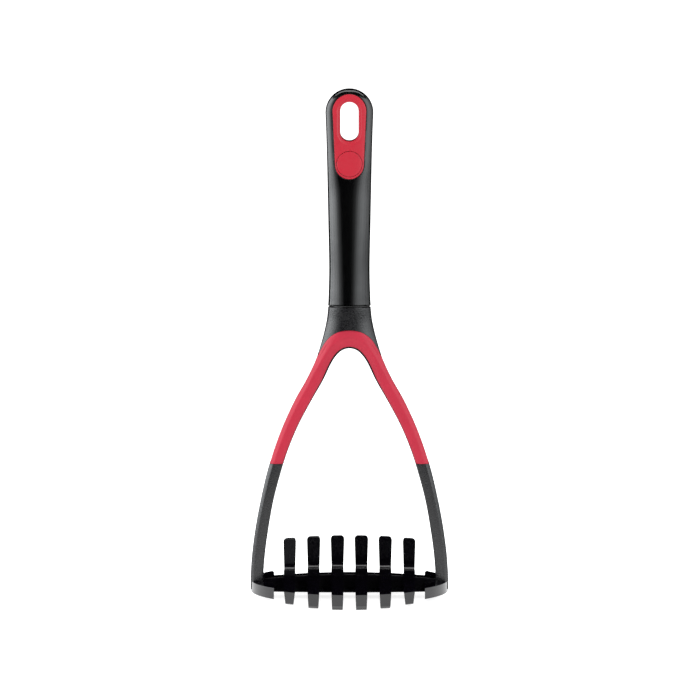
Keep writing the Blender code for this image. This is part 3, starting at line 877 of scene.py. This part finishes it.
def tine_outline(length, bottom, chamfer):
    """Side view of a tine, as (y, z): arched over the bar, and turned up at the rear."""
    crown = BAR_HIGH.z + 0.15 * MM     # where the tine passes over the bar
    tab_front = length - TAB_THICK
    heel, corner, bend = 3.5 * MM, 0.8 * MM, 3.3 * MM
    lean_back = 1.5 * MM               # of the tab's front face, from its foot to its top
    chamfer_rise = 0.8 * chamfer
    back, front = tab_front - bend, -length
    steps, bow = 24, 1.8
    outline = [(-length + chamfer, bottom), (length - heel, bottom)]
    outline += arc((length - heel, bottom + heel), heel, -70, 0, 8)
    outline += arc((length - corner, TAB_TOP - corner), corner, 0, 90, 6)
    outline += arc((tab_front + lean_back + corner, TAB_TOP - corner), corner, 90, 176, 6)
    outline += arc((back, TINE_REAR + bend), bend, -4, -84, 10)
    for step in range(1, steps):
        y = back + (front - back) * step / steps
        low = TINE_REAR if y > 0 else TINE_FRONT
        reach = back if y > 0 else -front
        outline.append((y, low + (crown - low) * (1 - (abs(y) / reach) ** bow)))
    outline += [(-length, TINE_FRONT), (-length, bottom + chamfer_rise)]
    return outline


def tine_front(half_widths, bottom):
    """Front view of a tine, as (x, z): its sides lean out, and the tab's corners are round."""
    low, middle, high = (half * MM for half in half_widths)
    corner = 2.0 * MM
    right = [(low, bottom), (middle, TINE_CREASE)]
    right += arc((high - corner, TAB_TOP - corner), corner, 0, 90, 6)
    return right + [(-x, z) for x, z in reversed(right)]


def make_tine(place, bottom, pair):
    """One tine, whose ends follow the head's oval outline."""
    length = head_edge(place)
    width, depth = 8.0 * MM, 100 * MM  # of the two slabs that cross in the tine's shape
    straight = 8.0 * MM                # how far in front of the bar the slant begins
    fading = 1.5                       # how fast the slant fades through the tab's thickness
    edge = 0.8 * MM
    tine = slab("tine", tine_outline(length, bottom, TINE_CHAMFERS[pair] * MM), width,
                SIDE_PLANE, (place, 0, 0))
    for vert in tine.data.vertices:
        # the front end and the tab's rear face follow the oval; the tab's front face hardly does
        slant = head_edge(vert.co.x) - length
        if vert.co.y > 0:
            vert.co.y += slant * max(0.0, 1 - (length - vert.co.y) / TAB_THICK) ** fading
        else:
            vert.co.y -= slant * max(0.0, (-vert.co.y - straight) / (length - straight))
    boolean(tine, slab("face", tine_front(TINE_HALF_WIDTHS[pair], bottom), depth, FRONT_PLANE,
                       (place, 0, 0)), "INTERSECT")
    bevel(tine, edge, 3)
    return tine


def make_head():
    """Feet, crossbar and tines, fused into one moulding."""
    head = make_crossbar()
    head.name = "head_moulding"
    for side in (-1, 1):
        boolean(head, make_foot(side), "UNION", "MANIFOLD")
    for number in range(1, 7):
        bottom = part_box(f"tine_{number}")[0].z
        steps_from_middle = number - 3.5
        tine = make_tine(steps_from_middle * TINE_PITCH, bottom, int(abs(steps_from_middle)))
        boolean(head, tine, "UNION", "MANIFOLD")
    for vert in head.data.vertices:
        vert.co.x *= 1 + SPLAY * vert.co.y
    shade_evenly(head)
    return head


# ---------------------------------------------------------------- stage, lights and camera

LIT_RADIUS, FLOOR_RADIUS = 0.36, 40.0  # of the part of the floor seen in reflections, and of all
FLOOR_GLOW, AMBIENT = 0.82, 1.07       # strengths of the floor's and the world's even light

STRIP_CIRCLE = 1.2                     # distance of the upright strips from the object
STRIP_LOW, STRIP_HIGH = 0.02, 1.3
COOL = (0.95, 0.98, 1.0)
# (heading, spread, radiance) of each strip; heading 0 is the front, and 90 the right
LEFT_STRIPS = ((-30, 10, 0.6), (-40, 10, 1.7), (-51, 12, 3.9), (-65, 16, 5.6), (-85, 24, 6.2),
               (-110, 26, 4.4))
RIGHT_STRIPS = ((10, 8, 0.3), (18, 8, 1.2), (27, 10, 2.5), (38, 12, 3.5), (52, 16, 3.9),
                (70, 20, 3.2), (92, 24, 2.0), (115, 22, 0.9))

CAMERA_DISTANCE, CAMERA_HEIGHT = 1.9, 0.355
CAMERA_LENS = 190
AIM = (0.0003, 0.0, 0.1297)            # the point in the middle of the view


def studio_white():
    """A pale floor that glows a little, like a lit table, so that shadows stay faint."""
    made = material("studio_white", (0.55, 0.55, 0.55), 0.9)
    shader = made.node_tree.nodes["Principled BSDF"]
    shader.inputs["Specular IOR Level"].default_value = 0.0
    shader.inputs["Emission Color"].default_value = (1, 1, 1, 1)
    shader.inputs["Emission Strength"].default_value = FLOOR_GLOW
    return made


def make_stage():
    """A wide level floor. Glossy surfaces mirror only its middle, which keeps the blacks deep."""
    points = 96
    circle = [Vector((cos(2 * pi * step / points), sin(2 * pi * step / points), 0.0))
              for step in range(points)]
    bm = bmesh.new()
    bm.faces.new([bm.verts.new(point * LIT_RADIUS) for point in circle])
    middle = finish_mesh(bm, "floor_middle")
    bm = bmesh.new()
    bridge(bm, *[[bm.verts.new(point * radius) for point in circle]
                 for radius in (LIT_RADIUS, FLOOR_RADIUS)])
    around = finish_mesh(bm, "floor_around")
    around.visible_glossy = False
    white = studio_white()
    for floor in (middle, around):
        floor.data.materials.append(white)


def make_light(name, place, target, width, height, radiance, tint=(1, 1, 1)):
    """A soft panel that faces a target and gives off an even radiance."""
    lamp = bpy.data.lights.new(name, "AREA")
    lamp.shape = "RECTANGLE"
    lamp.size, lamp.size_y = width, height
    lamp.energy = radiance * pi * width * height
    lamp.color = tint
    light = bpy.data.objects.new(name, lamp)
    bpy.context.scene.collection.objects.link(light)
    light.location = place
    light.rotation_euler = (Vector(target) - Vector(place)).to_track_quat("-Z", "Y").to_euler()
    light.visible_camera = False


def make_strip(name, heading, spread, radiance):
    """An upright soft strip on a circle round the object."""
    width = 2 * STRIP_CIRCLE * sin(radians(spread / 2))
    angle, middle = radians(heading), (STRIP_LOW + STRIP_HIGH) / 2
    place = (STRIP_CIRCLE * sin(angle), -STRIP_CIRCLE * cos(angle), middle)
    make_light(name, place, (0, 0, middle), width, STRIP_HIGH - STRIP_LOW, radiance, COOL)


def make_lights():
    """Strips on both sides, which shape the blacks by their reflections, and a panel above."""
    for index, (heading, spread, radiance) in enumerate(LEFT_STRIPS + RIGHT_STRIPS):
        make_strip(f"strip_{index}", heading, spread, radiance)
    make_light("overhead", place=(0, -0.05, 1.3), target=(0, 0, 0.26), width=1.6, height=0.42,
               radiance=4.4)


def make_world():
    """Even ambient light, kept out of reflections so that the blacks stay deep."""
    world = bpy.data.worlds.new("studio")
    world.use_nodes = True
    background = world.node_tree.nodes["Background"]
    background.inputs["Color"].default_value = (1, 1, 1, 1)
    background.inputs["Strength"].default_value = AMBIENT
    world.cycles_visibility.glossy = False
    bpy.context.scene.world = world


def make_camera():
    """A long lens in front of the object, which looks down a little."""
    data = bpy.data.cameras.new("camera")
    data.sensor_width = 36
    data.lens = CAMERA_LENS
    data.clip_end = 20
    camera = bpy.data.objects.new("camera", data)
    bpy.context.scene.collection.objects.link(camera)
    camera.location = (AIM[0], -CAMERA_DISTANCE, CAMERA_HEIGHT)
    camera.rotation_euler = (Vector(AIM) - camera.location).to_track_quat("-Z", "Y").to_euler()
    bpy.context.scene.camera = camera


# ---------------------------------------------------------------- assembly

make_camera()
make_stage()
make_lights()
make_world()
bpy.context.scene.view_settings.view_transform = "Standard"

dress(make_handle(), gloss_black(), "handle_gloss_black", "handle_shell")

front_plate = make_plate("insert_plate_front", -1)
badge = make_badge(front_plate)
red = satin_red()
dress(front_plate, red, "insert_red", "insert_front")
dress(badge, red, "insert_red", "insert_badge")
dress(make_plate("insert_plate_rear", 1), red, "insert_red", "insert_rear")

dress(make_wishbone(), moulded_black("frame_black", roughness=0.3, grain=0.00005),
      "frame_matt_black", "neck", "arm_left", "arm_right")
dress(make_head(), moulded_black("head_black", roughness=0.14, grain=0.000006),
      "frame_matt_black", "foot_left", "foot_right", "crossbar",
      *(f"tine_{number}" for number in range(1, 7)))
dress(make_sleeve(), soft_red(), "sleeve_soft_red", "soft_sleeve")
